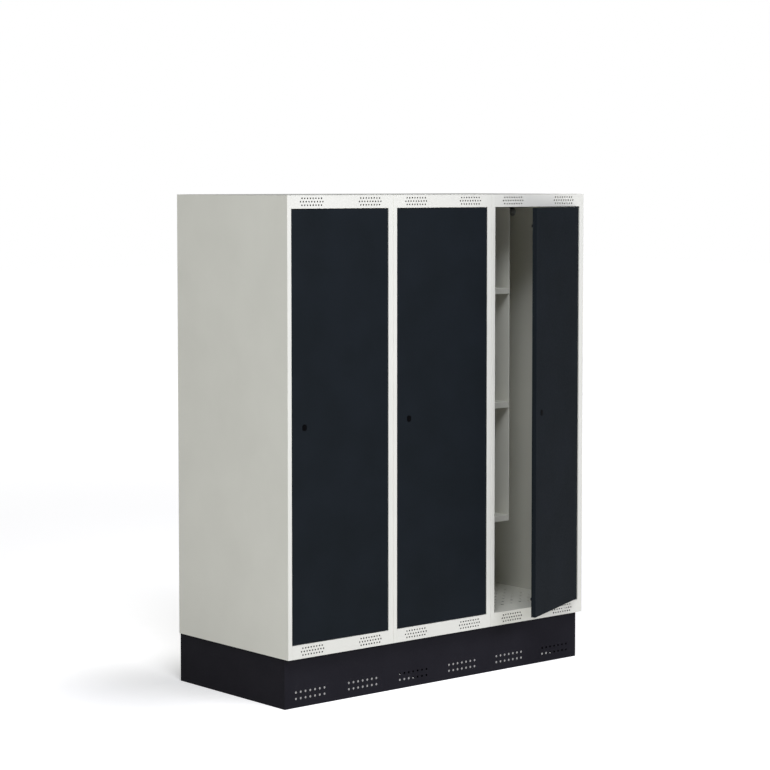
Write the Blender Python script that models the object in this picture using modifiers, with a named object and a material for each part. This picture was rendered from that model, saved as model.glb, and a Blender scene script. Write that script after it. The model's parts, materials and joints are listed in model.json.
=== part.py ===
# Locker cabinet: three sheet-steel lockers side by side on a shared plinth.
# Each locker has a door hung on the right, three shelves, a divider and a coat rail.
# Units are metres, +Z is up, +X runs to the right along the front, and the doors face -Y.
# The origin is on the floor, in the middle of the cabinet's footprint.

import math

import bpy
import bmesh
from mathutils import Euler, Matrix, Vector

# Body
LOCKER_COUNT = 3
LOCKER_WIDTH = 0.4037           # one locker, outside
BODY_DEPTH = 0.550
BODY_HEIGHT = 1.360             # above the plinth
SHEET = 0.001                   # steel of the body
SEAT_GAP = 0.0003               # between pieces that touch

# Front of each locker
LOCK_STILE = 0.0144             # width on the side of the lock
HINGE_STILE = 0.0188            # width on the side of the hinges
TOP_RAIL = 0.0400
BOTTOM_RAIL = 0.0415
STOP_LIP = 0.014                # lip behind the door, on the side of the lock
HINGE_RETURN = 0.015            # fold behind the hinge stile

# Vent holes in both rails: staggered rows, in two groups per locker
VENT_RADIUS = 0.00225
VENT_PITCH = 0.0104
VENT_ROW_STEP = 0.0100
VENT_ROWS = (8, 9, 8)
VENT_INSET = 0.0492             # side of the locker to the middle of the first hole
ROUND_HOLE_SIDES = 6
SHARP_ANGLE = 35                # edges of turned pieces above this stay sharp, in degrees

# Inside
FLOOR_DROP = 0.0015             # top edge of the bottom rail to the floor
FLOOR_FLANGE = 0.030
FLOOR_HOLE_RADIUS = 0.0035
FLOOR_HOLE_PITCH = 0.0387
FLOOR_HOLE_COLUMNS = 8
FLOOR_HOLE_ROWS = 10
DIVIDER_SETBACK = 0.135         # front of the body to the divider and the shelves
DIVIDER_HEM = 0.0025            # thickness of the folded front edge
DIVIDER_HEM_DEPTH = 0.012
SHELF_LIP = 0.019
SHELF_BACK_LIP = 0.012
SHELF_NAMES = ("lower", "middle", "upper")
LOWEST_SHELF = 0.282            # floor of the locker to the top of the lowest shelf
SHELF_STEP = 0.368
COAT_RAIL_SETBACK = 0.330       # front of the body to the rail's axis
COAT_RAIL_DROP = 0.059          # underside of the roof to the rail's axis
COAT_RAIL_RADIUS = 0.0080
COAT_RAIL_WALL = 0.0012
COAT_FLANGE_RADIUS = 0.0145
COAT_FLANGE = 0.003

# Doors
DOOR_THICKNESS = 0.015
DOOR_SHEET = 0.001
DOOR_LIP = 0.016                # width of the lip around the back of the door
DOOR_GAP = 0.0018               # door to rails and to the lock stile
SWING_CLEARANCE = 0.0004        # door's corner to the hinge stile as the door turns
HINGE_EDGE = 0.007              # edge of the door to its hinge axis
OPEN_ANGLES = (0.0, 0.0, 24.5)  # how far each door stands open, in degrees
PIN_RADIUS = 0.0025
PIN_HEAD_RADIUS = 0.0035
PIN_HEAD = 0.0015
PIN_REACH = 0.004               # pin beyond the rail's fold
PIN_SIDES = 12
PIN_HEAD_MARGIN = 0.0005        # pin's head to the inside of the door's face
BUFFER_RADIUS = 0.0050
BUFFER_THICKNESS = 0.0050
BUFFER_EDGE = 0.0085            # free edge of the door to the buffer's axis
BUFFER_INSET = 0.056            # end of the door to the buffer's axis
BUFFER_CROWN = 0.7              # flat top of the buffer, as a share of its radius
BUFFER_SHOULDER = 0.6           # height where its crown begins, as a share of its thickness
BUFFER_SIDES = 16
STOP_CLEARANCE = 0.0005
LOCK_EDGE = 0.0455              # free edge of the door to the lock hole
PLUG_RADIUS = 0.0095
PLUG_FLAT = 0.0080              # middle of the plug to its flats
PLUG_FLANGE = 0.0012
PLUG_DEPTH = 0.006
PLUG_SHOULDER = 0.0016          # flange beyond the stem, all round
PLUG_ARC_STEPS = 6

# Plinth
PLINTH_HEIGHT = 0.150
PLINTH_SIDE_INSET = 0.0043
PLINTH_SETBACK = 0.024
PLINTH_FLANGE = 0.025
PLINTH_HOLE_RADIUS = 0.0035
PLINTH_HOLE_PITCH = 0.018
PLINTH_HOLES = 7                # in a row
PLINTH_HOLE_ROWS = (0.027, 0.046)
BRACE_WIDTH = 0.040

# Sizes that follow from the ones above
PITCH = LOCKER_WIDTH + SEAT_GAP
FRONT = -BODY_DEPTH / 2
BACK = BODY_DEPTH / 2
TOP = PLINTH_HEIGHT + BODY_HEIGHT
ROOF_UNDERSIDE = TOP - SHEET
BODY_BOTTOM = PLINTH_HEIGHT + SEAT_GAP
WALL_TOP = ROOF_UNDERSIDE - SEAT_GAP
OPENING_BOTTOM = PLINTH_HEIGHT + BOTTOM_RAIL
OPENING_TOP = TOP - TOP_RAIL
FLOOR_TOP = OPENING_BOTTOM - FLOOR_DROP
STOP_DEPTH = DOOR_THICKNESS + SEAT_GAP + BUFFER_THICKNESS + STOP_CLEARANCE
RAIL_RETURN = STOP_DEPTH - SEAT_GAP
FLOOR_FRONT = FRONT + STOP_DEPTH + SHEET + SEAT_GAP
BACK_INSIDE = BACK - SHEET
HINGE_SETBACK = DOOR_SHEET + PIN_HEAD_RADIUS + PIN_HEAD_MARGIN
HINGE_GAP = math.hypot(HINGE_SETBACK, HINGE_EDGE) - HINGE_EDGE + SWING_CLEARANCE
DOOR_BOTTOM = OPENING_BOTTOM + DOOR_GAP
DOOR_TOP = OPENING_TOP - DOOR_GAP
OPENING_WIDTH = LOCKER_WIDTH - LOCK_STILE - HINGE_STILE
DOOR_FREE_EDGE = -(OPENING_WIDTH - DOOR_GAP - HINGE_GAP - HINGE_EDGE)
PIN_HOLE_RADIUS = PIN_RADIUS + SEAT_GAP
PLINTH_HALF = (LOCKER_COUNT * PITCH - SEAT_GAP) / 2 - PLINTH_SIDE_INSET
CUT_MARGIN = 0.001              # how far a cutter reaches past the sheet


def locker_left(index):
    """Left outside face of a locker; the middle locker is centred on X = 0."""
    return (index - (LOCKER_COUNT - 1) / 2) * PITCH - LOCKER_WIDTH / 2


def make_material(name, colour, roughness, metallic):
    material = bpy.data.materials.new(name)
    material.use_nodes = True
    shader = material.node_tree.nodes["Principled BSDF"]
    shader.inputs["Base Color"].default_value = (*colour, 1.0)
    shader.inputs["Roughness"].default_value = roughness
    shader.inputs["Metallic"].default_value = metallic
    material.diffuse_color = (*colour, 1.0)
    return material


def add_object(name, mesh, collection, material=None, parent=None):
    part = bpy.data.objects.new(name, mesh)
    collection.objects.link(part)
    if material:
        mesh.materials.append(material)
    if parent:
        part.parent = parent
    return part


def finish_mesh(name, bm):
    mesh = bpy.data.meshes.new(name)
    bm.to_mesh(mesh)
    bm.free()
    return mesh


def place_profile(axis, point, along):
    """Put a profile point into space; the profile is swept along the axis."""
    first, second = point
    if axis == "X":
        return Vector((along, first, second))
    if axis == "Y":
        return Vector((first, along, second))
    return Vector((first, second, along))


def folded_sheet(name, outline, axis, start, end, material):
    """A sheet folded along an outline; the steel lies on the outline's left.

    The outline is in (Y, Z) swept along X, (X, Z) swept along Y or (X, Y) swept along Z.
    Left is as seen from +X, from -Y or from +Z.
    """
    bm = bmesh.new()
    corner = place_profile(axis, outline[0], start)
    near = [bm.verts.new(place_profile(axis, point, start) - corner) for point in outline]
    edges = [bm.edges.new(pair) for pair in zip(near, near[1:])]
    swept = bmesh.ops.extrude_edge_only(bm, edges=edges)
    moved = [item for item in swept["geom"] if isinstance(item, bmesh.types.BMVert)]
    sweep = place_profile(axis, (0.0, 0.0), end - start)
    bmesh.ops.translate(bm, verts=moved, vec=sweep)
    outward = (near[1].co - near[0].co).cross(sweep)
    if axis == "Y":
        outward.negate()
    bm.normal_update()
    first_face = near[0].link_faces[0]
    if first_face.normal.dot(outward) < 0:
        bmesh.ops.reverse_faces(bm, faces=bm.faces[:])
    part = add_object(name, finish_mesh(name, bm), parts, material)
    part.location = corner
    wall = part.modifiers.new("Sheet", "SOLIDIFY")
    wall.thickness = SHEET
    wall.offset = -1.0
    wall.use_even_offset = True
    return part


def turned(name, profile, steps, location, direction, material, parent=None):
    """A turned piece: its profile is (radius, height), read from top to bottom."""
    bm = bmesh.new()
    points = [bm.verts.new((radius, 0.0, height)) for radius, height in profile]
    for pair in zip(points, points[1:]):
        bm.edges.new(pair)
    if profile[0][0] > 0.0:
        bm.edges.new((points[-1], points[0]))
    part = add_object(name, finish_mesh(name, bm), parts, material, parent)
    part.location = location
    part.rotation_euler = Vector(direction).to_track_quat("Z", "Y").to_euler()
    screw = part.modifiers.new("Turn", "SCREW")
    screw.steps = steps
    screw.render_steps = steps
    screw.use_merge_vertices = True
    screw.merge_threshold = 0.00001
    evaluated = part.evaluated_get(bpy.context.evaluated_depsgraph_get())
    part.data = bpy.data.meshes.new_from_object(evaluated)
    part.modifiers.clear()
    part.data.shade_smooth()
    part.data.set_sharp_from_angle(angle=math.radians(SHARP_ANGLE))
    return part


def punch(target, name, centres, radius, sides, direction, reach):
    """Cut round holes through a sheet, all with one cutter; it shares the sheet's origin."""
    bm = bmesh.new()
    turn = Vector(direction).to_track_quat("Z", "Y").to_matrix().to_4x4()
    for centre in centres:
        bmesh.ops.create_cone(
            bm,
            cap_ends=True,
            segments=sides,
            radius1=radius,
            radius2=radius,
            depth=reach,
            matrix=Matrix.Translation(centre - target.location) @ turn,
        )
    cutter = add_object(name, finish_mesh(name, bm), cutters, parent=target.parent)
    cutter.location = target.location
    cut(target, cutter)


def cut(target, cutter):
    cutter.hide_render = True
    cutter.display_type = "WIRE"
    hole = target.modifiers.new(cutter.name, "BOOLEAN")
    hole.operation = "DIFFERENCE"
    hole.solver = "EXACT"
    hole.object = cutter


def double_d(radius, flat, steps):
    """Outline of a round plug with a flat on its left and on its right."""
    half_arc = math.asin(flat / radius)
    arc = [half_arc * (2 * step / steps - 1) for step in range(steps + 1)]
    upper = [(radius * math.sin(angle), radius * math.cos(angle)) for angle in arc]
    lower = [(-x, -z) for x, z in upper]
    return upper + lower


def stacked_outline(name, layers, collection, material=None, parent=None):
    """A solid through a stack of like outlines; each layer is (Y, outline in X and Z)."""
    bm = bmesh.new()
    rings = [[bm.verts.new((x, y, z)) for x, z in outline] for y, outline in layers]
    bm.faces.new(rings[0])
    bm.faces.new(list(reversed(rings[-1])))
    for ring, following in zip(rings, rings[1:]):
        for index, corner in enumerate(ring):
            after = (index + 1) % len(ring)
            bm.faces.new((corner, following[index], following[after], ring[after]))
    bmesh.ops.recalc_face_normals(bm, faces=bm.faces[:])
    return add_object(name, finish_mesh(name, bm), collection, material, parent)


def vent_centres(left, rail_middle):
    """Both groups of staggered vent holes in one rail."""
    middle = left + LOCKER_WIDTH / 2
    half_group = (max(VENT_ROWS) - 1) / 2 * VENT_PITCH
    group_offset = LOCKER_WIDTH / 2 - VENT_INSET - half_group
    centres = []
    for side in (-1, 1):
        for row, count in enumerate(VENT_ROWS):
            height = rail_middle + (row - (len(VENT_ROWS) - 1) / 2) * VENT_ROW_STEP
            for index in range(count):
                across = (index - (count - 1) / 2) * VENT_PITCH
                centres.append(Vector((middle + side * group_offset + across, FRONT, height)))
    return centres


def build_rail(name, left, bottom, top, fold_height, outline):
    """A rail of the front: an upright face with vents, and a fold behind the door's end."""
    start = left + LOCK_STILE + SEAT_GAP
    end = left + LOCKER_WIDTH - HINGE_STILE - SEAT_GAP
    rail = folded_sheet(name, outline, "X", start, end, frame_paint)
    reach = 2 * (SHEET + CUT_MARGIN)
    centres = vent_centres(left, (bottom + top) / 2)
    punch(rail, name + "_vents", centres, VENT_RADIUS, ROUND_HOLE_SIDES, (0, 1, 0), reach)
    pin_hole = [Vector((hinge_x(left), FRONT + HINGE_SETBACK, fold_height))]
    punch(rail, name + "_pin_hole", pin_hole, PIN_HOLE_RADIUS, PIN_SIDES, (0, 0, 1), reach)


def hinge_x(left):
    return left + LOCKER_WIDTH - HINGE_STILE - HINGE_GAP - HINGE_EDGE


def build_walls(number, left):
    right = left + LOCKER_WIDTH
    lock_edge = left + LOCK_STILE
    hinge_edge = right - HINGE_STILE
    lock_side = [
        (left, BACK),
        (left, FRONT),
        (lock_edge, FRONT),
        (lock_edge, FRONT + STOP_DEPTH),
        (lock_edge + STOP_LIP, FRONT + STOP_DEPTH),
    ]
    folded_sheet(f"side_left_{number}", lock_side, "Z", BODY_BOTTOM, WALL_TOP, frame_paint)
    hinge_side = [
        (hinge_edge, FRONT + HINGE_RETURN),
        (hinge_edge, FRONT),
        (right, FRONT),
        (right, BACK),
    ]
    folded_sheet(f"side_right_{number}", hinge_side, "Z", BODY_BOTTOM, WALL_TOP, frame_paint)

    inner_left = left + SHEET + SEAT_GAP
    inner_right = right - SHEET - SEAT_GAP
    back_sheet = [(BACK, BODY_BOTTOM), (BACK, WALL_TOP)]
    folded_sheet(f"back_{number}", back_sheet, "X", inner_left, inner_right, frame_paint)
    roof_sheet = [(BACK, TOP), (FRONT, TOP)]
    folded_sheet(f"roof_{number}", roof_sheet, "X", left, right, frame_paint)
    build_floor(number, inner_left, inner_right)

    top_rail = [(FRONT, WALL_TOP), (FRONT, OPENING_TOP), (FRONT + RAIL_RETURN, OPENING_TOP)]
    build_rail(f"rail_top_{number}", left, OPENING_TOP, TOP, OPENING_TOP, top_rail)
    fold_end = (FRONT + RAIL_RETURN, OPENING_BOTTOM)
    bottom_rail = [fold_end, (FRONT, OPENING_BOTTOM), (FRONT, BODY_BOTTOM)]
    build_rail(
        f"rail_bottom_{number}", left, PLINTH_HEIGHT, OPENING_BOTTOM, OPENING_BOTTOM, bottom_rail
    )


def build_floor(number, start, end):
    """The floor tray, with a square grid of vent holes in its middle."""
    back = BACK_INSIDE - SEAT_GAP
    low = FLOOR_TOP - FLOOR_FLANGE
    tray = [(back, low), (back, FLOOR_TOP), (FLOOR_FRONT, FLOOR_TOP), (FLOOR_FRONT, low)]
    floor = folded_sheet(f"floor_{number}", tray, "X", start, end, frame_paint)
    centres = []
    for row in range(FLOOR_HOLE_ROWS):
        depth = (row - (FLOOR_HOLE_ROWS - 1) / 2) * FLOOR_HOLE_PITCH
        for column in range(FLOOR_HOLE_COLUMNS):
            across = (column - (FLOOR_HOLE_COLUMNS - 1) / 2) * FLOOR_HOLE_PITCH
            centres.append(Vector(((start + end) / 2 + across, depth, FLOOR_TOP)))
    name = f"floor_{number}_vents"
    reach = 2 * (SHEET + CUT_MARGIN)
    punch(floor, name, centres, FLOOR_HOLE_RADIUS, ROUND_HOLE_SIDES, (0, 0, 1), reach)


def build_fittings(number, left):
    """Divider, shelves and coat rail of one locker."""
    right = left + LOCKER_WIDTH
    middle = left + LOCKER_WIDTH / 2
    shelf_front = FRONT + DIVIDER_SETBACK
    shelf_back = BACK_INSIDE - SEAT_GAP
    lowest = FLOOR_TOP + LOWEST_SHELF
    divider = [
        (middle, shelf_back),
        (middle, shelf_front),
        (middle + DIVIDER_HEM, shelf_front),
        (middle + DIVIDER_HEM, shelf_front + DIVIDER_HEM_DEPTH),
    ]
    folded_sheet(f"divider_{number}", divider, "Z", lowest - SHELF_LIP, WALL_TOP, frame_paint)

    for index, shelf_name in enumerate(SHELF_NAMES):
        height = lowest + index * SHELF_STEP
        shelf = [
            (shelf_back, height - SHELF_BACK_LIP),
            (shelf_back, height),
            (shelf_front, height),
            (shelf_front, height - SHELF_LIP),
        ]
        start = left + SHEET + SEAT_GAP
        name = f"shelf_{shelf_name}_{number}"
        folded_sheet(name, shelf, "X", start, middle - SEAT_GAP, frame_paint)

    start = middle + SHEET + SEAT_GAP
    half = (right - SHEET - SEAT_GAP - start) / 2
    bore = COAT_RAIL_RADIUS - COAT_RAIL_WALL
    profile = [
        (bore, half),
        (COAT_FLANGE_RADIUS, half),
        (COAT_FLANGE_RADIUS, half - COAT_FLANGE),
        (COAT_RAIL_RADIUS, half - COAT_FLANGE),
        (COAT_RAIL_RADIUS, COAT_FLANGE - half),
        (COAT_FLANGE_RADIUS, COAT_FLANGE - half),
        (COAT_FLANGE_RADIUS, -half),
        (bore, -half),
    ]
    centre = (start + half, FRONT + COAT_RAIL_SETBACK, ROOF_UNDERSIDE - COAT_RAIL_DROP)
    turned(f"coat_rail_{number}", profile, PIN_SIDES, centre, (1, 0, 0), zinc)


def build_door_tray(number, hinge):
    """The door: a flat tray whose back edge is folded in to a lip."""
    width = HINGE_EDGE - DOOR_FREE_EDGE
    height = DOOR_TOP - DOOR_BOTTOM
    centre = Vector(
        (
            (HINGE_EDGE + DOOR_FREE_EDGE) / 2,
            DOOR_THICKNESS / 2 - HINGE_SETBACK,
            (DOOR_TOP + DOOR_BOTTOM) / 2,
        )
    )
    bm = bmesh.new()
    size = Matrix.Diagonal((width, DOOR_THICKNESS, height, 1.0))
    bmesh.ops.create_cube(bm, size=1.0, matrix=Matrix.Translation(centre) @ size)
    bm.normal_update()
    back = [face for face in bm.faces if face.normal.y > 0.5]
    bmesh.ops.inset_region(bm, faces=back, thickness=DOOR_LIP, use_even_offset=True)
    bmesh.ops.delete(bm, geom=back, context="FACES")
    door = add_object(f"door_{number}", finish_mesh(f"door_{number}", bm), parts, door_paint, hinge)
    wall = door.modifiers.new("Sheet", "SOLIDIFY")
    wall.thickness = DOOR_SHEET
    wall.offset = -1.0
    wall.use_even_offset = True

    pin_holes = [Vector((0, 0, DOOR_BOTTOM)), Vector((0, 0, DOOR_TOP))]
    reach = 2 * (DOOR_SHEET + CUT_MARGIN)
    punch(door, f"door_{number}_pin_holes", pin_holes, PIN_HOLE_RADIUS, PIN_SIDES, (0, 0, 1), reach)

    hole_outline = double_d(
        PLUG_RADIUS - PLUG_SHOULDER + SEAT_GAP, PLUG_FLAT - PLUG_SHOULDER + SEAT_GAP, PLUG_ARC_STEPS
    )
    face = -HINGE_SETBACK
    layers = [(face - CUT_MARGIN, hole_outline), (face + DOOR_SHEET + CUT_MARGIN, hole_outline)]
    hole = stacked_outline(f"door_{number}_lock_hole", layers, cutters, parent=hinge)
    hole.location = lock_centre()
    cut(door, hole)


def lock_centre():
    return Vector((DOOR_FREE_EDGE + LOCK_EDGE, 0.0, (DOOR_TOP + DOOR_BOTTOM) / 2))


def build_hinge_pins(number, hinge):
    """Pins at both ends of the door; each turns in the rail and carries a collar."""
    collar = DOOR_GAP - 2 * SEAT_GAP
    seat = -DOOR_SHEET - SEAT_GAP
    profile = [
        (0.0, DOOR_GAP + SHEET + PIN_REACH),
        (PIN_RADIUS, DOOR_GAP + SHEET + PIN_REACH),
        (PIN_RADIUS, SEAT_GAP + collar),
        (PIN_HEAD_RADIUS, SEAT_GAP + collar),
        (PIN_HEAD_RADIUS, SEAT_GAP),
        (PIN_RADIUS, SEAT_GAP),
        (PIN_RADIUS, seat),
        (PIN_HEAD_RADIUS, seat),
        (PIN_HEAD_RADIUS, seat - PIN_HEAD),
        (0.0, seat - PIN_HEAD),
    ]
    for end, height, up in (("lower", DOOR_BOTTOM, -1), ("upper", DOOR_TOP, 1)):
        turned(
            f"hinge_pin_{end}_{number}", profile, PIN_SIDES, (0, 0, height), (0, 0, up), zinc, hinge
        )


def build_buffers(number, hinge):
    """Rubber buffers on the back of the door, near its free edge."""
    crown = BUFFER_RADIUS * BUFFER_CROWN
    profile = [
        (0.0, BUFFER_THICKNESS),
        (crown, BUFFER_THICKNESS),
        (BUFFER_RADIUS, BUFFER_THICKNESS * BUFFER_SHOULDER),
        (BUFFER_RADIUS, 0.0),
        (0.0, 0.0),
    ]
    across = DOOR_FREE_EDGE + BUFFER_EDGE
    back = DOOR_THICKNESS - HINGE_SETBACK + SEAT_GAP
    for end, height in (("lower", DOOR_BOTTOM + BUFFER_INSET), ("upper", DOOR_TOP - BUFFER_INSET)):
        place = (across, back, height)
        turned(f"buffer_{end}_{number}", profile, BUFFER_SIDES, place, (0, 1, 0), rubber, hinge)


def build_lock_plug(number, hinge):
    """A plug that blanks the door's lock hole: a flange outside and a stem through the door."""
    flange = double_d(PLUG_RADIUS, PLUG_FLAT, PLUG_ARC_STEPS)
    stem = double_d(PLUG_RADIUS - PLUG_SHOULDER, PLUG_FLAT - PLUG_SHOULDER, PLUG_ARC_STEPS)
    seat = -HINGE_SETBACK - SEAT_GAP
    layers = [(seat - PLUG_FLANGE, flange), (seat, flange), (seat, stem), (seat + PLUG_DEPTH, stem)]
    plug = stacked_outline(f"lock_plug_{number}", layers, parts, plug_plastic, hinge)
    plug.location = lock_centre()


def build_door(number, left, open_angle):
    hinge = bpy.data.objects.new(f"hinge_axis_{number}", None)
    parts.objects.link(hinge)
    hinge.location = (hinge_x(left), FRONT + HINGE_SETBACK, 0.0)
    hinge.rotation_euler = Euler((0.0, 0.0, math.radians(open_angle)))
    build_door_tray(number, hinge)
    build_hinge_pins(number, hinge)
    build_buffers(number, hinge)
    build_lock_plug(number, hinge)


def channel(high, low, face, flange):
    """Outline of a channel: its web is at face, and both flanges reach towards flange."""
    return [(flange, high), (face, high), (face, low), (flange, low)]


def build_plinth_side(name, outline, side):
    """A side of the plinth; its flanges stop short of those on the front and the back."""
    front = FRONT + PLINTH_SETBACK
    panel = folded_sheet(name, outline, "Y", front, BACK, plinth_paint)
    width = PLINTH_FLANGE
    reach = PLINTH_FLANGE + SEAT_GAP
    middle = side * (PLINTH_HALF - SHEET - width / 2)
    bm = bmesh.new()
    size = Matrix.Diagonal((width, 2 * reach, PLINTH_HEIGHT + 2 * CUT_MARGIN, 1.0))
    for depth in (front, BACK):
        place = Matrix.Translation(Vector((middle, depth, PLINTH_HEIGHT / 2)) - panel.location)
        bmesh.ops.create_cube(bm, size=1.0, matrix=place @ size)
    cutter = add_object(name + "_notches", finish_mesh(name, bm), cutters)
    cutter.location = panel.location
    cut(panel, cutter)


def build_plinth():
    front = FRONT + PLINTH_SETBACK
    top = PLINTH_HEIGHT
    end = PLINTH_HALF - SHEET - SEAT_GAP
    front_channel = channel(top, 0.0, front, front + PLINTH_FLANGE)
    panel = folded_sheet("plinth_front", front_channel, "X", -end, end, plinth_paint)
    centres = []
    for index in range(LOCKER_COUNT):
        middle = locker_left(index) + LOCKER_WIDTH / 2
        for side in (-1, 1):
            for height in PLINTH_HOLE_ROWS:
                for hole in range(PLINTH_HOLES):
                    across = (hole - (PLINTH_HOLES - 1) / 2) * PLINTH_HOLE_PITCH
                    centres.append(Vector((middle + side * PITCH / 4 + across, front, height)))
    reach = 2 * (SHEET + CUT_MARGIN)
    punch(
        panel, "plinth_vents", centres, PLINTH_HOLE_RADIUS, ROUND_HOLE_SIDES, (0, 1, 0), reach
    )

    back_channel = channel(0.0, top, BACK, BACK - PLINTH_FLANGE)
    folded_sheet("plinth_back", back_channel, "X", -end, end, plinth_paint)
    left_channel = channel(top, 0.0, -PLINTH_HALF, PLINTH_FLANGE - PLINTH_HALF)
    build_plinth_side("plinth_left", left_channel, -1)
    right_channel = channel(0.0, top, PLINTH_HALF, PLINTH_HALF - PLINTH_FLANGE)
    build_plinth_side("plinth_right", right_channel, 1)

    brace_channel = channel(top, 0.0, -BRACE_WIDTH / 2, BRACE_WIDTH / 2)
    brace_start = front + PLINTH_FLANGE + SEAT_GAP
    brace_end = BACK - PLINTH_FLANGE - SEAT_GAP
    folded_sheet("plinth_brace", brace_channel, "Y", brace_start, brace_end, plinth_paint)


for old in list(bpy.data.objects):
    bpy.data.objects.remove(old, do_unlink=True)

parts = bpy.data.collections.new("locker_cabinet")
cutters = bpy.data.collections.new("cutters")
bpy.context.scene.collection.children.link(parts)
bpy.context.scene.collection.children.link(cutters)

frame_paint = make_material("white_powder_coat", (0.80, 0.79, 0.77), 0.45, 0.0)
door_paint = make_material("anthracite_powder_coat", (0.016, 0.020, 0.026), 0.42, 0.0)
plinth_paint = make_material("black_powder_coat", (0.014, 0.013, 0.016), 0.50, 0.0)
zinc = make_material("zinc_plated_steel", (0.55, 0.56, 0.58), 0.35, 1.0)
rubber = make_material("black_rubber", (0.010, 0.010, 0.010), 0.70, 0.0)
plug_plastic = make_material("black_plastic", (0.008, 0.008, 0.009), 0.50, 0.0)

build_plinth()
for locker in range(LOCKER_COUNT):
    left_face = locker_left(locker)
    build_walls(locker + 1, left_face)
    build_fittings(locker + 1, left_face)
    build_door(locker + 1, left_face, OPEN_ANGLES[locker])
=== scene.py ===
# A row of three sheet-steel lockers on a shared, perforated plinth.
# Metres, +Z up, +X to the right along the front; the doors face -Y.
import json
import math

import bmesh
import bpy
from mathutils import Matrix, Vector
from mathutils.geometry import delaunay_2d_cdt


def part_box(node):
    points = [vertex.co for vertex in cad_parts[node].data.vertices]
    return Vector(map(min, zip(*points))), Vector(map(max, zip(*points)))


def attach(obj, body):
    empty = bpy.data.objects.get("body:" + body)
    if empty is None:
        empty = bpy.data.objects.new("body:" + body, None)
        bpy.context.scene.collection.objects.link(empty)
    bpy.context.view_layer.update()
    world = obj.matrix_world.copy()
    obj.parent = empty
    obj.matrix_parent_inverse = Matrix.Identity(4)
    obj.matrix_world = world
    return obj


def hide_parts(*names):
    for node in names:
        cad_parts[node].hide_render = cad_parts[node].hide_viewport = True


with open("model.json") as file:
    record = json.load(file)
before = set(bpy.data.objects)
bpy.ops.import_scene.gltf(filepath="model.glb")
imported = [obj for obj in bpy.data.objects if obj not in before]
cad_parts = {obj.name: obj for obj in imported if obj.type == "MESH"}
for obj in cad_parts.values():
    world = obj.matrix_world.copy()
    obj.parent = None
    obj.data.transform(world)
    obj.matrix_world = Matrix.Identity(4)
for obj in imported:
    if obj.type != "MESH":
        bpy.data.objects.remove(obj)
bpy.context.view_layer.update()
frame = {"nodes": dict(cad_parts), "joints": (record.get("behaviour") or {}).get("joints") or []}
print("frame loaded:", len(frame["nodes"]), "nodes")

lockerNumbers = (1, 2, 3)
seatGap = 0.0003      # the clearance between two sheets in the frame
axisRadius = 0.00001  # the innermost ring of a turned piece
sharpDegrees = 50     # edges that turn by more than this stay crisp


# Sheets and turned pieces

sheet = {
    "thickness": 0.001,
    "bend": 0.0006,       # inside radius of an ordinary fold
    "crisp": 0.00015,     # inside radius of a fold that closes flush with its neighbour
    "crispOuter": 4,      # outside of such a fold, in inside radii
    "bendSteps": 5,
    "edgeRound": 0.00015,  # deburred edge under the coat
    "holeRound": 0.0002,
    "holeSides": 18,
}


def placePoint(axis, point, along):
    # a profile point goes into space; the profile is swept along the axis
    first, second = point
    if axis == "X":
        return Vector((along, first, second))
    if axis == "Y":
        return Vector((first, along, second))
    return Vector((first, second, along))


def leftOf(direction):
    return Vector((-direction.y, direction.x))


def cornerArc(corner, before, after, radius, steps):
    # points round one corner of a line, at that radius
    turn = before.x * after.y - before.y * after.x
    side = 1 if turn > 0 else -1
    half = before.angle(after) / 2
    start = corner - before * radius * math.tan(half)
    centre = start + leftOf(before) * side * radius
    points = []
    for step in range(steps + 1):
        angle = side * 2 * half * step / steps
        points.append(centre + Matrix.Rotation(angle, 2) @ (start - centre))
    return points


def bendLines(outline, thickness, bends):
    # both faces of a folded sheet as lines of matching points; the steel lies left of the outline
    corners = [Vector(point) for point in outline]
    ways = [(b - a).normalized() for a, b in zip(corners, corners[1:])]
    outer = [corners[0]]
    inner = [corners[0] + leftOf(ways[0]) * thickness]
    for index in range(1, len(corners) - 1):
        before, after = ways[index - 1], ways[index]
        turnsLeft = before.x * after.y - before.y * after.x > 0
        inside = bends[index - 1]
        crisp = inside <= sheet["crisp"]
        outside = inside * sheet["crispOuter"] if crisp else inside + thickness
        mitre = (leftOf(before) + leftOf(after)).normalized()
        mitre *= thickness / math.cos(before.angle(after) / 2)
        radii = (outside, inside) if turnsLeft else (inside, outside)
        steps = sheet["bendSteps"]
        outer += cornerArc(corners[index], before, after, radii[0], steps)
        inner += cornerArc(corners[index] + mitre, before, after, radii[1], steps)
    outer.append(corners[-1])
    inner.append(corners[-1] + leftOf(ways[-1]) * thickness)
    return outer, inner


def circle(centre, radius, sides):
    turns = [2 * math.pi * side / sides for side in range(sides)]
    return [(centre[0] + radius * math.cos(t), centre[1] + radius * math.sin(t)) for t in turns]


def fillAround(mesh, boundary, holes):
    # Triangles between a boundary and the holes in it; each is a list of (flat point, vertex).
    # The holes are real openings, so light and shade are seen through them.
    flat, verts, loops = [], [], []
    for ring in [boundary] + holes:
        loops.append([len(flat) + i for i in range(len(ring))])
        flat += [Vector(point) * 1000 for point, vert in ring]   # in mm, for exact triangles
        verts += [vert for point, vert in ring]
    withHoles = 2
    found = delaunay_2d_cdt(flat, [], loops, withHoles, 0.00001)
    origin = found[3]
    for face in found[2]:
        mesh.faces.new([verts[origin[i][0]] for i in face])


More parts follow.
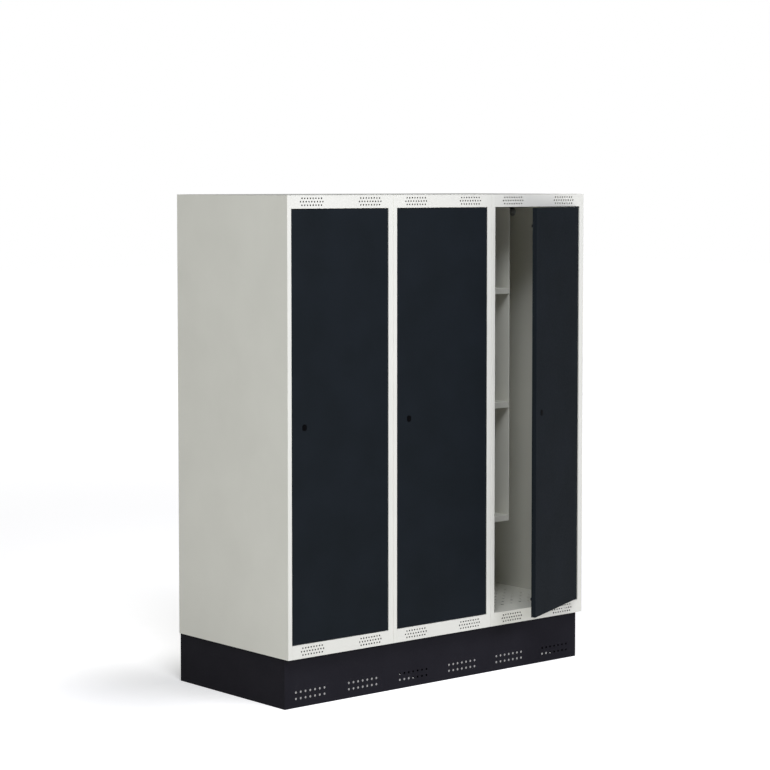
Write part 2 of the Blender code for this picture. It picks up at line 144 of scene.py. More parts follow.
def finishPiece(name, mesh, material, body, rounding=0.0):
    # closes a mesh into a piece of the object; narrow rounded edges catch the light along folds
    bmesh.ops.remove_doubles(mesh, verts=mesh.verts[:], dist=0.000001)
    bmesh.ops.recalc_face_normals(mesh, faces=mesh.faces[:])
    data = bpy.data.meshes.new(name)
    mesh.to_mesh(data)
    mesh.free()
    data.shade_smooth()
    piece = bpy.data.objects.new(name, data)
    bpy.context.scene.collection.objects.link(piece)
    data.materials.append(material)
    if rounding:
        edge = piece.modifiers.new("RoundedEdge", "BEVEL")
        edge.width = rounding
        edge.segments = 2
        edge.limit_method = "ANGLE"
        edge.angle_limit = math.radians(sharpDegrees)
        edge.use_clamp_overlap = False
    even = piece.modifiers.new("EvenShading", "WEIGHTED_NORMAL")
    even.keep_sharp = True
    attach(piece, body)
    return piece


def foldSheet(name, outline, axis, start, end, material, bends=None, holes=None,
              body="cabinet", rounding=None):
    # A sheet folded along an outline and swept along an axis.
    # holes: {index of the flat: (radius, [(place along the flat, place along the axis)])}
    thickness = sheet["thickness"]
    bends = bends or [sheet["bend"]] * (len(outline) - 2)
    holes = holes or {}
    outer, inner = bendLines(outline, thickness, bends)
    mesh, ends = bmesh.new(), (start, end)
    lines = [[[mesh.verts.new(placePoint(axis, p, at)) for at in ends] for p in line]
             for line in (outer, inner)]
    steps = sheet["bendSteps"]
    for i in range(len(outer) - 1):
        flatIndex, within = divmod(i, steps + 1)
        for end in (0, 1):
            mesh.faces.new([lines[0][i][end], lines[0][i + 1][end],
                            lines[1][i + 1][end], lines[1][i][end]])
        if within == 0 and flatIndex in holes:
            punchFlat(mesh, outline, flatIndex, axis, ends, (outer, inner), lines, i,
                      *holes[flatIndex])
            continue
        for line in lines:
            mesh.faces.new([line[i][0], line[i + 1][0], line[i + 1][1], line[i][1]])
    for i in (0, -1):
        mesh.faces.new([lines[0][i][0], lines[0][i][1], lines[1][i][1], lines[1][i][0]])
    rounding = sheet["edgeRound"] if rounding is None else rounding
    return finishPiece(name, mesh, material, body, rounding)


def punchFlat(mesh, outline, flatIndex, axis, ends, points, lines, i, radius, centres):
    # one flat of a folded sheet with round holes, their edges softened on both faces
    base = Vector(outline[flatIndex])
    way = (Vector(outline[flatIndex + 1]) - base).normalized()
    thickness, soft, sides = sheet["thickness"], sheet["holeRound"], sheet["holeSides"]

    def vertAt(flatPoint, depth):
        place = base + way * flatPoint[0] + leftOf(way) * depth
        return mesh.verts.new(placePoint(axis, place, flatPoint[1]))

    rims = ([], [])
    for centre in centres:
        layers = ((radius + soft, 0), (radius, soft),
                  (radius, thickness - soft), (radius + soft, thickness))
        rings = []
        for size, depth in layers:
            ring = circle(centre, size, sides)
            rings.append([(point, vertAt(point, depth)) for point in ring])
        joinRings(mesh, [[vert for point, vert in ring] for ring in rings])
        rims[0].append(rings[0])
        rims[1].append(rings[3])
    for face in (0, 1):
        spots = [((p - base).dot(way), p) for p in (points[face][i], points[face][i + 1])]
        line = lines[face]
        boundary = [((spots[0][0], ends[0]), line[i][0]), ((spots[1][0], ends[0]), line[i + 1][0]),
                    ((spots[1][0], ends[1]), line[i + 1][1]), ((spots[0][0], ends[1]), line[i][1])]
        fillAround(mesh, boundary, rims[face])


def joinRings(mesh, rings, closed=False):
    # quads between like rings of vertices, one after the other
    following = rings[1:] + rings[:1] if closed else rings[1:]
    for ring, after in zip(rings, following):
        for i in range(len(ring)):
            j = (i + 1) % len(ring)
            mesh.faces.new([ring[i], ring[j], after[j], after[i]])


def turnPiece(name, profile, sides, place, material, body, hollow=False):
    # a turned piece: its profile is (radius, height), along the Z of the matrix place
    mesh = bmesh.new()
    rings = []
    for radius, height in profile:
        ring = circle((0, 0), radius, sides)
        rings.append([mesh.verts.new(place @ Vector((x, y, height))) for x, y in ring])
    joinRings(mesh, rings, closed=hollow)
    if not hollow:
        mesh.faces.new(rings[0])
        mesh.faces.new(rings[-1])
    piece = finishPiece(name, mesh, material, body)
    piece.data.set_sharp_from_angle(angle=math.radians(sharpDegrees))
    return piece


# Materials

def linearColour(code):
    # an sRGB hex colour as linear red, green, blue and alpha
    parts = [int(code[i:i + 2], 16) / 255 for i in (0, 2, 4)]
    return [p / 12.92 if p <= 0.04045 else ((p + 0.055) / 1.055) ** 2.4 for p in parts] + [1.0]


def addNode(tree, kind, settings=None, links=None):
    # capitalised or numbered settings are sockets, the others are the node's own
    node = tree.nodes.new(kind)
    for key, value in (settings or {}).items():
        if isinstance(key, int) or key[0].isupper():
            node.inputs[key].default_value = value
        else:
            setattr(node, key, value)
    for key, source in (links or {}).items():
        tree.links.new(source, node.inputs[key])
    return node


def newMaterial(name):
    material = bpy.data.materials.new(name)
    material.use_nodes = True
    tree = material.node_tree
    tree.nodes.clear()
    return material, tree


def perMetre(millimetres):
    # a texture's scale for a feature of that size
    return 1000 / millimetres


def rampBetween(tree, source, low, high, span=(0.3, 0.7)):
    ramp = addNode(tree, "ShaderNodeValToRGB", links={"Fac": source})
    for element, place, colour in zip(ramp.color_ramp.elements, span, (low, high)):
        element.position = place
        element.color = colour
    return ramp.outputs["Color"]


def coatedSurface(name, look):
    # Colour wanders slightly from patch to patch, and a fine grain moves roughness and bump.
    material, tree = newMaterial(name)
    place = addNode(tree, "ShaderNodeTexCoord").outputs["Object"]
    patches = addNode(tree, "ShaderNodeTexNoise",
                      {"Scale": perMetre(look["patch"]), "Detail": 3.0, "Roughness": 0.5},
                      {"Vector": place}).outputs["Fac"]
    grain = addNode(tree, "ShaderNodeTexNoise",
                    {"Scale": perMetre(look["grain"]), "Detail": 2.0, "Roughness": 0.55},
                    {"Vector": place}).outputs["Fac"]
    colour = rampBetween(tree, patches, linearColour(look["colours"][0]),
                         linearColour(look["colours"][1]))
    low, high = look["roughness"]
    rough = addNode(tree, "ShaderNodeMapRange",
                    {"From Min": 0.3, "From Max": 0.7, "To Min": low, "To Max": high},
                    {"Value": grain}).outputs["Result"]
    bump = addNode(tree, "ShaderNodeBump",
                   {"Strength": look["strength"], "Distance": look["depth"] / 1000},
                   {"Height": grain}).outputs["Normal"]
    shader = addNode(tree, "ShaderNodeBsdfPrincipled",
                     {"Metallic": look.get("metallic", 0.0), "IOR": look.get("ior", 1.5),
                      "Specular IOR Level": look.get("specular", 0.5)},
                     {"Base Color": colour, "Roughness": rough, "Normal": bump})
    addNode(tree, "ShaderNodeOutputMaterial", links={"Surface": shader.outputs["BSDF"]})
    return material


finishes = {
    # Powder coat, baked on: satin, with a faint orange peel. The real peel is 1 to 2 mm across,
    # which wouldn't show, so it is drawn at 5 mm.
    "whitePowderCoat": {"colours": ("DAD9CC", "DEDDD0"), "patch": 140, "grain": 5, "depth": 0.03,
                        "strength": 0.35, "roughness": (0.42, 0.52), "specular": 0.4},
    "anthracitePowderCoat": {"colours": ("151A1D", "181D21"), "patch": 120, "grain": 5,
                             "depth": 0.03, "strength": 0.35, "roughness": (0.68, 0.78),
                             "specular": 0.07},
    "blackPowderCoat": {"colours": ("1B1A1F", "1F1E23"), "patch": 120, "grain": 5, "depth": 0.03,
                        "strength": 0.35, "roughness": (0.74, 0.84), "specular": 0.10},
    # Bright zinc plating: metal with a fine cloudy bloom, sharper in its highlights than the coat.
    "zincPlatedSteel": {"colours": ("A9ABAC", "C3C5C6"), "patch": 6, "grain": 1.2, "depth": 0.01,
                        "strength": 0.25, "roughness": (0.28, 0.42), "metallic": 1.0},
    # Moulded rubber: deep matt black, softly mottled.
    "mouldedRubber": {"colours": ("0E0E0E", "141414"), "patch": 4, "grain": 0.8, "depth": 0.02,
                      "strength": 0.3, "roughness": (0.7, 0.82), "ior": 1.52, "specular": 0.3},
    # Injection-moulded nylon with a spark-eroded grain: black with a dull sheen.
    "mouldedNylon": {"colours": ("030304", "060607"), "patch": 4, "grain": 0.7, "depth": 0.02,
                     "strength": 0.3, "roughness": (0.5, 0.65), "ior": 1.53, "specular": 0.03},
}
coats = {name: coatedSurface(name, look) for name, look in finishes.items()}
whiteCoat, doorCoat = coats["whitePowderCoat"], coats["anthracitePowderCoat"]
plinthCoat, zinc = coats["blackPowderCoat"], coats["zincPlatedSteel"]
rubber, nylon = coats["mouldedRubber"], coats["mouldedNylon"]
print("finishes mixed:", len(coats))


# Body of each locker

body = {
    "hingeReturn": 0.015,  # fold behind the hinge stile
    "pinHole": 0.0028,     # radius of the holes the hinge pins turn in
    "hemDepth": 0.012,     # the divider's front edge is folded double
    "hemBend": 0.0002,
    "backLip": 0.012,      # upstand at the back of each shelf
    "floorLip": 0.008,     # the tray's front edge ends above the vents, so they look dark
    "shelfNames": ("lower", "middle", "upper"),
}
vents = {
    "radius": 0.0026,
    "pitch": 0.0104,
    "rowStep": 0.0100,
    "rows": (8, 9, 8),
    "inset": 0.0492,      # side of the locker to the middle of the first hole
}
floorGrid = {"radius": 0.0055, "pitch": 0.0387, "columns": 8, "rows": 10}
joints = {joint["name"]: joint for joint in frame["joints"]}


def lockerSizes(number):
    # where the sheets of one locker end, read from the frame
    sideLow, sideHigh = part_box(f"side_left_{number}")
    hingeLow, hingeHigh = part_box(f"side_right_{number}")
    railLow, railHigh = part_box(f"rail_top_{number}")
    return {
        "left": sideLow.x, "right": hingeHigh.x, "front": sideLow.y, "back": sideHigh.y,
        "bottom": sideLow.z, "wallTop": sideHigh.z, "lockEdge": railLow.x - seatGap,
        "lipEnd": sideHigh.x, "hingeEdge": hingeLow.x, "stopDepth": railHigh.y + seatGap,
        "openTop": railLow.z, "openBottom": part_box(f"rail_bottom_{number}")[1].z,
        "railBack": railHigh.y, "top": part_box(f"roof_{number}")[1].z,
    }


def ventCentres(size, low, high):
    # two groups of small vents per rail, in offset rows: they read as fine dark dots
    middle = (size["left"] + size["right"]) / 2
    halfGroup = (max(vents["rows"]) - 1) / 2 * vents["pitch"]
    offset = (size["right"] - size["left"]) / 2 - vents["inset"] - halfGroup
    centres = []
    for side in (-1, 1):
        for row, count in enumerate(vents["rows"]):
            height = (low + high) / 2 + (row - (len(vents["rows"]) - 1) / 2) * vents["rowStep"]
            for index in range(count):
                across = (index - (count - 1) / 2) * vents["pitch"]
                centres.append((height, middle + side * offset + across))
    return centres


def buildWalls(number, size):
    # the white frame round each door is the folded front edge of the side panels, so it has no
    # seam at the corner; back and roof close the box behind it
    bend, crisp = sheet["bend"], sheet["crisp"]
    front, back = size["front"], size["back"]
    lockSide = [(size["left"], back), (size["left"], front), (size["lockEdge"], front),
                (size["lockEdge"], size["stopDepth"]), (size["lipEnd"], size["stopDepth"])]
    side = foldSheet(f"lockSidePanel_{number}", lockSide, "Z", size["bottom"], size["wallTop"],
                     whiteCoat, [bend, crisp, bend])
    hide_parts(f"side_left_{number}")
    hingeSide = [(size["hingeEdge"], front + body["hingeReturn"]), (size["hingeEdge"], front),
                 (size["right"], front), (size["right"], back)]
    side = foldSheet(f"hingeSidePanel_{number}", hingeSide, "Z", size["bottom"], size["wallTop"],
                     whiteCoat, [crisp, bend])
    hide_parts(f"side_right_{number}")
    low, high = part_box(f"back_{number}")
    panel = foldSheet(f"backPanel_{number}", [(high.y, low.z), (high.y, high.z)], "X",
                      low.x, high.x, whiteCoat)
    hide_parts(f"back_{number}")
    roof = foldSheet(f"roofSheet_{number}", [(back, size["top"]), (front, size["top"])], "X",
                     size["left"], size["right"], whiteCoat)
    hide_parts(f"roof_{number}")


def buildRails(number, size):
    # top and bottom of the frame, flush with the side panels' front edges
    hinge = joints[f"door_hinge_{number}"]["pos_m"]
    start, end = size["lockEdge"], size["hingeEdge"]
    front, fold = size["front"], size["railBack"]
    crisp, pinHole = [sheet["crisp"]], body["pinHole"]

    topLine = [(front, size["wallTop"]), (front, size["openTop"]), (fold, size["openTop"])]
    spots = [(size["wallTop"] - height, x)
             for height, x in ventCentres(size, size["openTop"], size["top"])]
    rail = foldSheet(f"topRail_{number}", topLine, "X", start, end, whiteCoat, crisp,
                     {0: (vents["radius"], spots), 1: (pinHole, [(hinge[1] - front, hinge[0])])})
    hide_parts(f"rail_top_{number}")

    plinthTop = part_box("plinth_front")[1].z
    sillLine = [(fold, size["openBottom"]), (front, size["openBottom"]), (front, size["bottom"])]
    spots = [(size["openBottom"] - height, x)
             for height, x in ventCentres(size, plinthTop, size["openBottom"])]
    rail = foldSheet(f"bottomRail_{number}", sillLine, "X", start, end, whiteCoat, crisp,
                     {0: (pinHole, [(fold - hinge[1], hinge[0])]), 1: (vents["radius"], spots)})
    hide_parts(f"rail_bottom_{number}")


def buildFloor(number):
    # a raised tray; its grid of holes shows through the open door
    low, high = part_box(f"floor_{number}")
    tray = [(high.y, low.z), (high.y, high.z), (low.y, high.z), (low.y, high.z - body["floorLip"])]
    spots = []
    for row in range(floorGrid["rows"]):
        depth = (row - (floorGrid["rows"] - 1) / 2) * floorGrid["pitch"]
        for column in range(floorGrid["columns"]):
            across = (column - (floorGrid["columns"] - 1) / 2) * floorGrid["pitch"]
            spots.append((high.y - depth, (low.x + high.x) / 2 + across))
    floor = foldSheet(f"floorTray_{number}", tray, "X", low.x, high.x, whiteCoat,
                      holes={1: (floorGrid["radius"], spots)})
    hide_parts(f"floor_{number}")


def buildShelves(number):
    # the divider splits the locker, and the shelves' front lips catch the light to its left
    low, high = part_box(f"divider_{number}")
    hem = [(low.x, high.y), (low.x, low.y), (high.x, low.y), (high.x, low.y + body["hemDepth"])]
    divider = foldSheet(f"dividerPanel_{number}", hem, "Z", low.z, high.z, whiteCoat,
                        [body["hemBend"]] * 2)
    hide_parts(f"divider_{number}")
    for shelfName in body["shelfNames"]:
        node = f"shelf_{shelfName}_{number}"
        low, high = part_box(node)
        line = [(high.y, high.z - body["backLip"]), (high.y, high.z), (low.y, high.z),
                (low.y, low.z)]
        shelf = foldSheet(f"{shelfName}Shelf_{number}", line, "X", low.x, high.x, whiteCoat)
        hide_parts(node)


coatRail = {"radius": 0.008, "bore": 0.0068, "flange": 0.003, "round": 0.0008, "sides": 40}


def buildCoatRail(number):
    # a tube with a round flange at each end; the flange's edge shows as a light ring
    low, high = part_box(f"coat_rail_{number}")
    half, flangeRadius = (high.x - low.x) / 2, (high.z - low.z) / 2
    edge, inner = coatRail["round"], half - coatRail["flange"]
    end = [(coatRail["bore"], half), (flangeRadius - edge / 2, half),
           (flangeRadius, half - edge / 2), (flangeRadius, inner + edge),
           (flangeRadius - edge * 0.3, inner + edge * 0.3), (flangeRadius - edge, inner),
           (coatRail["radius"] + edge, inner), (coatRail["radius"], inner - edge)]
    profile = end + [(radius, -height) for radius, height in reversed(end)]
    place = Matrix.Translation((low + high) / 2) @ Matrix.Rotation(math.pi / 2, 4, "Y")
    rail = turnPiece(f"coatRail_{number}", profile, coatRail["sides"], place, zinc, "cabinet",
                     hollow=True)
    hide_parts(f"coat_rail_{number}")


shelfMark = {
    "radius": 0.0035,
    "height": 0.0003,
    "drop": 0.008,             # below the top of the shelf
    "depths": (0.212, 0.505),  # behind the cabinet's front
    "sides": 20,
}


def buildShelfMarks():
    # on the outer side panel the spots where the shelves are fixed stand out faintly
    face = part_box("side_left_1")[0]
    radius, height = shelfMark["radius"], shelfMark["height"]
    profile = [(radius, 0.0), (radius * 0.8, height * 0.7), (radius * 0.5, height),
               (axisRadius, height)]
    for shelfName in body["shelfNames"]:
        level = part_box(f"shelf_{shelfName}_1")[1].z - shelfMark["drop"]
        for index, depth in enumerate(shelfMark["depths"]):
            spot = Matrix.Translation((face.x, face.y + depth, level))
            turnPiece(f"{shelfName}ShelfMark_{index + 1}", profile, shelfMark["sides"],
                      spot @ Matrix.Rotation(-math.pi / 2, 4, "Y"), whiteCoat, "cabinet")


buildShelfMarks()
for number in lockerNumbers:
    size = lockerSizes(number)
    buildWalls(number, size)
    buildRails(number, size)
    buildFloor(number)
    buildShelves(number)
    buildCoatRail(number)
    print("locker body built:", number)


# Doors

door = {
    "sheet": 0.001,
    "lip": 0.016,
    "fold": 0.0013,       # outside radius of the folds
    "corner": 0.0015,     # corners of the tray, seen from the front
    "steps": 5,
    "edge": 0.0002,
}
lockPlug = {
    "radius": 0.0095,
    "flat": 0.0080,       # middle of the plug to its flats
    "shoulder": 0.0016,
    "flange": 0.0012,
    "stem": 0.006,
    "round": 0.0006,
    "dish": 0.0003,       # the middle of its face lies this much deeper
    "arcSteps": 10,
    "edgePlace": 0.0455,  # free edge of the door to the middle of the lock hole
}
pin = {"radius": 0.0025, "head": 0.0035, "headHeight": 0.0015, "reach": 0.004, "edge": 0.0003,
       "collar": 0.0012, "clearance": 0.0003, "sides": 28}
buffer = {"radius": 0.005, "thickness": 0.005, "shoulder": 0.6, "edge": 0.0003,
          "edgePlace": 0.0085, "endPlace": 0.056, "sides": 32}


def doorFrame(number):
    # the door's own coordinates: the hinge axis is at its origin, and its free edge lies at -X
    joint = joints[f"door_hinge_{number}"]
    openAngle = math.radians(-joint["range_deg"][0])
    place = Vector((joint["pos_m"][0], joint["pos_m"][1], 0))
    return Matrix.Translation(place) @ Matrix.Rotation(openAngle, 4, "Z")


def doorBox():
    # the door's box in its own coordinates, read from the first door, which is shut
    place = Vector(joints["door_hinge_1"]["pos_m"])
    low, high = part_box("door_1")
    return Vector((low.x - place.x, low.y - place.y, low.z)), \
        Vector((high.x - place.x, high.y - place.y, high.z))


def roundedFrame(low, high, inset, radius, steps):
    # a rectangle in X and Z with rounded corners, counter-clockwise from the lower left
    left, right = low.x + inset + radius, high.x - inset - radius
    bottom, top = low.z + inset + radius, high.z - inset - radius
    centres = ((left, bottom, 180), (right, bottom, 270), (right, top, 0), (left, top, 90))
    points = []
    for x, z, startAngle in centres:
        for step in range(steps + 1):
            angle = math.radians(startAngle + 90 * step / steps)
            points.append((x + radius * math.cos(angle), z + radius * math.sin(angle)))
    return points


def doubleD(grow):
    # the plug's outline, rounded above and below, flat on its left and right
    radius, flat = lockPlug["radius"] + grow, lockPlug["flat"] + grow
    half, steps = math.asin(flat / radius), lockPlug["arcSteps"]
    angles = [half * (2 * step / steps - 1) for step in range(steps + 1)]
    upper = [(radius * math.sin(angle), radius * math.cos(angle)) for angle in angles]
    return upper + [(-x, -z) for x, z in upper]


def buildDoorPanel(number, place, low, high):
    # a folded tray: flat dark face, four sides and a lip all round the back, so that the door
    # looks thick at its edges and hollow from behind
    thickness, fold, edge = door["sheet"], door["fold"], door["edge"]
    front, back, inside = low.y, high.y, max(door["fold"] - door["sheet"], 0.0003)
    lip, steps = door["lip"], door["steps"]
    quarter = [math.pi / 2 * step / steps for step in range(steps + 1)]
    outer = [(fold - fold * math.sin(a), front + fold - fold * math.cos(a)) for a in quarter]
    outer += [(fold - fold * math.cos(a), back - fold + fold * math.sin(a)) for a in quarter]
    rim = [(lip - edge, back), (lip, back - edge),
           (lip, back - thickness + edge), (lip - edge, back - thickness)]
    wall = thickness + inside
    inner = [(wall - inside * math.sin(a), back - wall + inside * math.cos(a)) for a in quarter]
    inner += [(wall - inside * math.cos(a), front + wall - inside * math.sin(a)) for a in quarter]
    mesh = bmesh.new()
    rings = []
    for inset, depth in outer + rim + inner:
        ring = roundedFrame(low, high, inset, door["corner"], steps)
        rings.append([((x, z), mesh.verts.new(place @ Vector((x, depth, z)))) for x, z in ring])
    joinRings(mesh, [[vert for point, vert in ring] for ring in rings])
    lock = lockCentre(low, high)
    opening = [(lock.x + x, lock.z + z) for x, z in doubleD(seatGap - lockPlug["shoulder"])]
    rims = []
    for depth in (front, front + thickness):
        rims.append([((x, z), mesh.verts.new(place @ Vector((x, depth, z)))) for x, z in opening])
    joinRings(mesh, [[vert for point, vert in ring] for ring in rims])
    fillAround(mesh, rings[0], [rims[0]])
    fillAround(mesh, rings[-1], [rims[1]])
    panel = finishPiece(f"doorPanel_{number}", mesh, doorCoat, f"door_body_{number}")
    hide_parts(f"door_{number}")


def lockCentre(low, high):
    # halfway up, near the free edge
    return Vector((low.x + lockPlug["edgePlace"], low.y, (low.z + high.z) / 2))


def buildLockPlug(number, place, low, high):
    # a low black plug with two flats, darker and duller than the door round it
    lock, soft = lockCentre(low, high), lockPlug["round"]
    seat = low.y - seatGap
    face = seat - lockPlug["flange"]
    shoulder = -lockPlug["shoulder"]
    dish, end = face + lockPlug["dish"], seat + lockPlug["stem"]
    layers = [(dish, -0.0030), (dish, -0.0026), (face, -0.0022), (face, -soft)]
    layers += [(face + soft * 0.3, -soft * 0.3), (face + soft, 0.0), (seat, 0.0)]
    layers += [(seat, shoulder), (end - soft, shoulder), (end, shoulder - soft)]
    mesh = bmesh.new()
    rings = []
    for depth, grow in layers:
        rings.append([mesh.verts.new(place @ Vector((lock.x + x, depth, lock.z + z)))
                      for x, z in doubleD(grow)])
    joinRings(mesh, rings)
    mesh.faces.new(rings[0])
    mesh.faces.new(rings[-1])
    plug = finishPiece(f"lockPlug_{number}", mesh, nylon, f"door_body_{number}")
    plug.data.set_sharp_from_angle(angle=math.radians(sharpDegrees))
    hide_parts(f"lock_plug_{number}")


def buildHingePins(number, place, low, high):
    # bright pins with a collar, which show only as glints in the gaps above and below the door
    edge, shank, head = pin["edge"], pin["radius"], pin["head"]
    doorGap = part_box("rail_top_1")[0].z - high.z
    tip = doorGap + sheet["thickness"] + pin["reach"]
    collar = pin["clearance"] + pin["collar"]
    seat = -door["sheet"] - pin["clearance"]
    end = seat - pin["headHeight"]
    profile = [(axisRadius, tip), (shank - edge * 2, tip), (shank, tip - edge * 2), (shank, collar),
               (head - edge, collar), (head, collar - edge), (head, pin["clearance"] + edge),
               (head - edge, pin["clearance"]), (shank, pin["clearance"]), (shank, seat),
               (head - edge, seat), (head, seat - edge), (head, end + edge),
               (head - edge, end), (axisRadius, end)]
    for endName, height, turn in (("lower", low.z, math.pi), ("upper", high.z, 0.0)):
        at = place @ Matrix.Translation((0, 0, height)) @ Matrix.Rotation(turn, 4, "X")
        piece = turnPiece(f"{endName}HingePin_{number}", profile, pin["sides"], at, zinc,
                          f"door_body_{number}")
        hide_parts(f"hinge_pin_{endName}_{number}")


def buildBuffers(number, place, low, high):
    # soft black buttons with a rounded crown, seen at the free edge of an open door
    radius, thick, edge = buffer["radius"], buffer["thickness"], buffer["edge"]
    shoulder = thick * buffer["shoulder"]
    crown = []
    for degrees in (78, 62, 46, 30, 15):
        angle = math.radians(degrees)
        crown.append((radius * math.cos(angle), shoulder + (thick - shoulder) * math.sin(angle)))
    profile = [(axisRadius, thick)] + crown
    profile += [(radius, shoulder), (radius, edge), (radius - edge, 0.0), (axisRadius, 0.0)]
    ends = (("lower", low.z + buffer["endPlace"]), ("upper", high.z - buffer["endPlace"]))
    for endName, height in ends:
        spot = Matrix.Translation((low.x + buffer["edgePlace"], high.y + seatGap, height))
        at = place @ spot @ Matrix.Rotation(-math.pi / 2, 4, "X")
        piece = turnPiece(f"{endName}Buffer_{number}", profile, buffer["sides"], at, rubber,
                          f"door_body_{number}")
        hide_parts(f"buffer_{endName}_{number}")


doorLow, doorHigh = doorBox()
for number in lockerNumbers:
    place = doorFrame(number)
    for build in (buildDoorPanel, buildLockPlug, buildHingePins, buildBuffers):
        build(number, place, doorLow, doorHigh)
    print("door hung:", number)


# Plinth

plinth = {
    "flange": 0.025,
    "holeRadius": 0.0035,
    "holePitch": 0.018,
    "holes": 7,           # in a row
    "holeRows": (0.027, 0.046),
}


def channelLine(high, low, face, flange):
    # a face with a flange turned in above and below
    return [(flange, high), (face, high), (face, low), (flange, low)]


def buildPlinth():
    # a black frame, set back under the lockers; two rows of holes per group let light through
    low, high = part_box("plinth_front")
    spots = []
    for number in lockerNumbers:
        size = lockerSizes(number)
        middle, pitch = (size["left"] + size["right"]) / 2, size["right"] - size["left"] + seatGap
        for side in (-1, 1):
            for height in plinth["holeRows"]:
                for hole in range(plinth["holes"]):
                    across = (hole - (plinth["holes"] - 1) / 2) * plinth["holePitch"]
                    spots.append((high.z - height, middle + side * pitch / 4 + across))
    line = channelLine(high.z, low.z, low.y, high.y)
    panel = foldSheet("plinthFront", line, "X", low.x - seatGap, high.x + seatGap, plinthCoat,
                      holes={1: (plinth["holeRadius"], spots)})
    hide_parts("plinth_front")
    low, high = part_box("plinth_back")
    line = channelLine(low.z, high.z, high.y, low.y)
    panel = foldSheet("plinthBack", line, "X", low.x - seatGap, high.x + seatGap, plinthCoat)
    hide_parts("plinth_back")
    low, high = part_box("plinth_brace")
    brace = foldSheet("plinthBrace", channelLine(high.z, low.z, low.x, high.x), "Y", low.y, high.y,
                      plinthCoat)
    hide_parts("plinth_brace")
    for node, name, side in (("plinth_left", "plinthLeft", 1), ("plinth_right", "plinthRight", -1)):
        low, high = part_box(node)
        face, inward = (low.x, high.x) if side > 0 else (high.x, low.x)
        line = channelLine(high.z, low.z, face, inward)
        if side < 0:
            line.reverse()
        panel = foldSheet(name, line, "Y", low.y, high.y, plinthCoat)
        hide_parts(node)


buildPlinth()
print("plinth built")


# Studio: pale glowing paper with painted light and a painted soft shadow on it, a broad lamp high
# on the left and a cooler one low in front

studio = {
    "floorSize": 60.0,
    "floorColours": ("F3F1EB", "F5F3ED"),
    "floorPatch": 400,     # mm
    "paintedShadowGlow": 0.30,      # in the middle of the painted soft shadow
    "glowAround": 0.76,
    "glowFar": 1.0,        # far off, where the lamps don't reach
    # painted shade on the paper under the plinth, seen through its holes
    "paintedShadeUnder": 0.35,
    "glowShare": 0.62,     # the share of the glow that lights the cabinet
    "paintedShadowCentre": (-0.72, 0.2, 0.0),   # the painted shadow's middle, left of the cabinet
    "paintedShadowSpan": (0.05, 0.7),   # from the painted shadow's middle to its rim
    "farSpan": (3.0, 8.0),
    "surround": 0.02,
    "lights": {            # place, diameter, power and colour of each round softbox
        "keyLight": ((-2.70, -3.30, 5.706), 3.0, 304.0, (0.888, 0.915, 1.0)),
        "fillLight": ((1.27, -5.975, 3.023), 3.0, 165.0, (0.80, 0.81, 1.0)),
    },
    "lightTarget": (0.0, 0.0, 0.8),
    "cameraPlace": (-4.69367, -5.52322, 1.54163),
    "cameraPitch": 0.06056,
    "cameraTurn": -0.70418,
    "lens": 107.494,
    "lensShift": -0.08,    # a lowered lens keeps the uprights nearly upright
}


def paperGlowWithPaintedShade(tree, place):
    # Strength of the paper's glow, which paints light and shade: it fills the lamps' shadows with
    # painted light, stays even to the horizon and dips only in a painted soft shadow beside the
    # cabinet. The camera sees all of it, the cabinet a share.
    paintedShadowDistance = addNode(tree, "ShaderNodeVectorMath", {"operation": "DISTANCE", 1: studio["paintedShadowCentre"]},
                   {0: place}).outputs["Value"]
    parts = []
    # the first range is the painted soft shadow, the second lifts the far paper to white
    for span, low, high in ((studio["paintedShadowSpan"], studio["paintedShadowGlow"], studio["glowAround"]),
                            (studio["farSpan"], 0.0, studio["glowFar"] - studio["glowAround"])):
        parts.append(addNode(tree, "ShaderNodeMapRange",
                             {"interpolation_type": "SMOOTHSTEP", "From Min": span[0],
                              "From Max": span[1], "To Min": low, "To Max": high},
                             {"Value": paintedShadowDistance}).outputs["Result"])
    glowWithPaintedShadow = addNode(tree, "ShaderNodeMath", links={0: parts[0], 1: parts[1]}).outputs[0]
    seen = addNode(tree, "ShaderNodeLightPath").outputs["Is Camera Ray"]
    share = addNode(tree, "ShaderNodeMath",
                    {"operation": "MULTIPLY_ADD", 1: 1 - studio["glowShare"],
                     2: studio["glowShare"]}, {0: seen}).outputs[0]
    glowWithPaintedShadow = addNode(tree, "ShaderNodeMath", {"operation": "MULTIPLY"},
                     {0: glowWithPaintedShadow, 1: share}).outputs[0]
    # under the plinth the paper gives no light, only painted shade: a dim tone that the camera sees
    # through the plinth's holes
    apart = addNode(tree, "ShaderNodeVectorMath", {"operation": "ABSOLUTE"}, {0: place})
    apart = addNode(tree, "ShaderNodeSeparateXYZ", links={0: apart.outputs["Vector"]})
    low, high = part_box("plinth_front")[0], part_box("plinth_back")[1]
    across = addNode(tree, "ShaderNodeMath", {"operation": "LESS_THAN", 1: high.x},
                     {0: apart.outputs["X"]}).outputs[0]
    deep = addNode(tree, "ShaderNodeMath", {"operation": "LESS_THAN", 1: -low.y},
                   {0: apart.outputs["Y"]}).outputs[0]
    under = addNode(tree, "ShaderNodeMath", {"operation": "MULTIPLY"},
                    {0: across, 1: deep}).outputs[0]
    paintedShadeGrey = addNode(tree, "ShaderNodeMath", {"operation": "MULTIPLY", 1: studio["paintedShadeUnder"]},
                   {0: seen}).outputs[0]
    return addNode(tree, "ShaderNodeMix", links={0: under, 2: glowWithPaintedShadow, 3: paintedShadeGrey}).outputs[0]


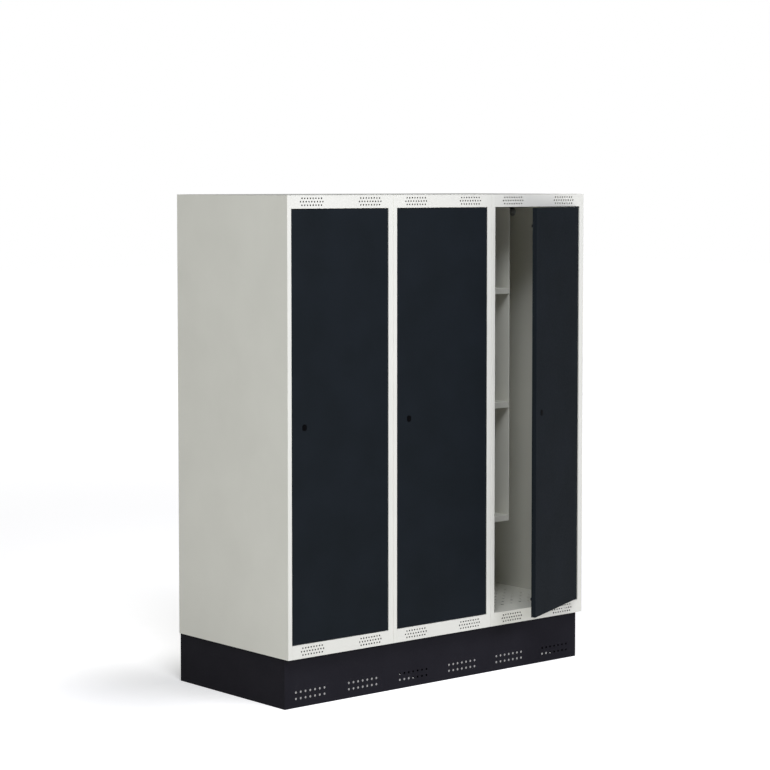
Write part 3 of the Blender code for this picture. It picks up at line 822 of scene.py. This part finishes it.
def layFloor():
    # plain pale paper without a horizon; its glow paints a soft shadow beside the cabinet and shade
    # under the plinth
    half = studio["floorSize"] / 2
    data = bpy.data.meshes.new("studioFloor")
    data.from_pydata([(-half, -half, 0), (half, -half, 0), (half, half, 0), (-half, half, 0)],
                     [], [(0, 1, 2, 3)])
    floor = bpy.data.objects.new("studioFloor", data)
    bpy.context.scene.collection.objects.link(floor)
    material, tree = newMaterial("studioPaperPaintedShade")
    place = addNode(tree, "ShaderNodeTexCoord").outputs["Object"]
    noise = addNode(tree, "ShaderNodeTexNoise",
                    {"Scale": perMetre(studio["floorPatch"]), "Detail": 2.0},
                    {"Vector": place}).outputs["Fac"]
    colour = rampBetween(tree, noise, *[linearColour(code) for code in studio["floorColours"]])
    matt = addNode(tree, "ShaderNodeBsdfDiffuse", links={"Color": colour})
    glow = addNode(tree, "ShaderNodeEmission", links={"Strength": paperGlowWithPaintedShade(tree, place)})
    both = addNode(tree, "ShaderNodeAddShader", links={0: matt.outputs[0], 1: glow.outputs[0]})
    addNode(tree, "ShaderNodeOutputMaterial", links={"Surface": both.outputs[0]})
    data.materials.append(material)


def lightStudio():
    # a white backdrop that hardly lights anything, and the round softboxes
    world = bpy.data.worlds.new("studioSurround")
    bpy.context.scene.world = world
    world.use_nodes = True
    tree = world.node_tree
    tree.nodes.clear()
    seen = addNode(tree, "ShaderNodeLightPath").outputs["Is Camera Ray"]
    white = (1, 1, 1, 1)
    light = addNode(tree, "ShaderNodeBackground",
                    {"Color": white, "Strength": studio["surround"]})
    backdrop = addNode(tree, "ShaderNodeBackground", {"Color": white, "Strength": 1.0})
    mix = addNode(tree, "ShaderNodeMixShader",
                  links={0: seen, 1: light.outputs[0], 2: backdrop.outputs[0]})
    addNode(tree, "ShaderNodeOutputWorld", links={"Surface": mix.outputs[0]})
    for name, (place, size, power, colour) in studio["lights"].items():
        softbox = bpy.data.objects.new(name, bpy.data.lights.new(name, "AREA"))
        bpy.context.scene.collection.objects.link(softbox)
        softbox.location = place
        aim = Vector(studio["lightTarget"]) - softbox.location
        softbox.rotation_euler = aim.to_track_quat("-Z", "Y").to_euler()
        softbox.data.shape = "DISK"
        softbox.data.size = size
        softbox.data.energy = power
        softbox.data.color = colour


def placeCamera():
    # from the front left, a little above the middle, through a long lens
    scene = bpy.context.scene
    camera = bpy.data.objects.new("studioCamera", bpy.data.cameras.new("studioCamera"))
    scene.collection.objects.link(camera)
    camera.location = studio["cameraPlace"]
    camera.rotation_euler = (math.pi / 2 - studio["cameraPitch"], 0, studio["cameraTurn"])
    camera.data.lens = studio["lens"]
    camera.data.shift_y = studio["lensShift"]
    camera.data.sensor_width = 36
    scene.camera = camera
    scene.view_settings.view_transform = "Standard"


layFloor()
lightStudio()
placeCamera()
print("studio lit")
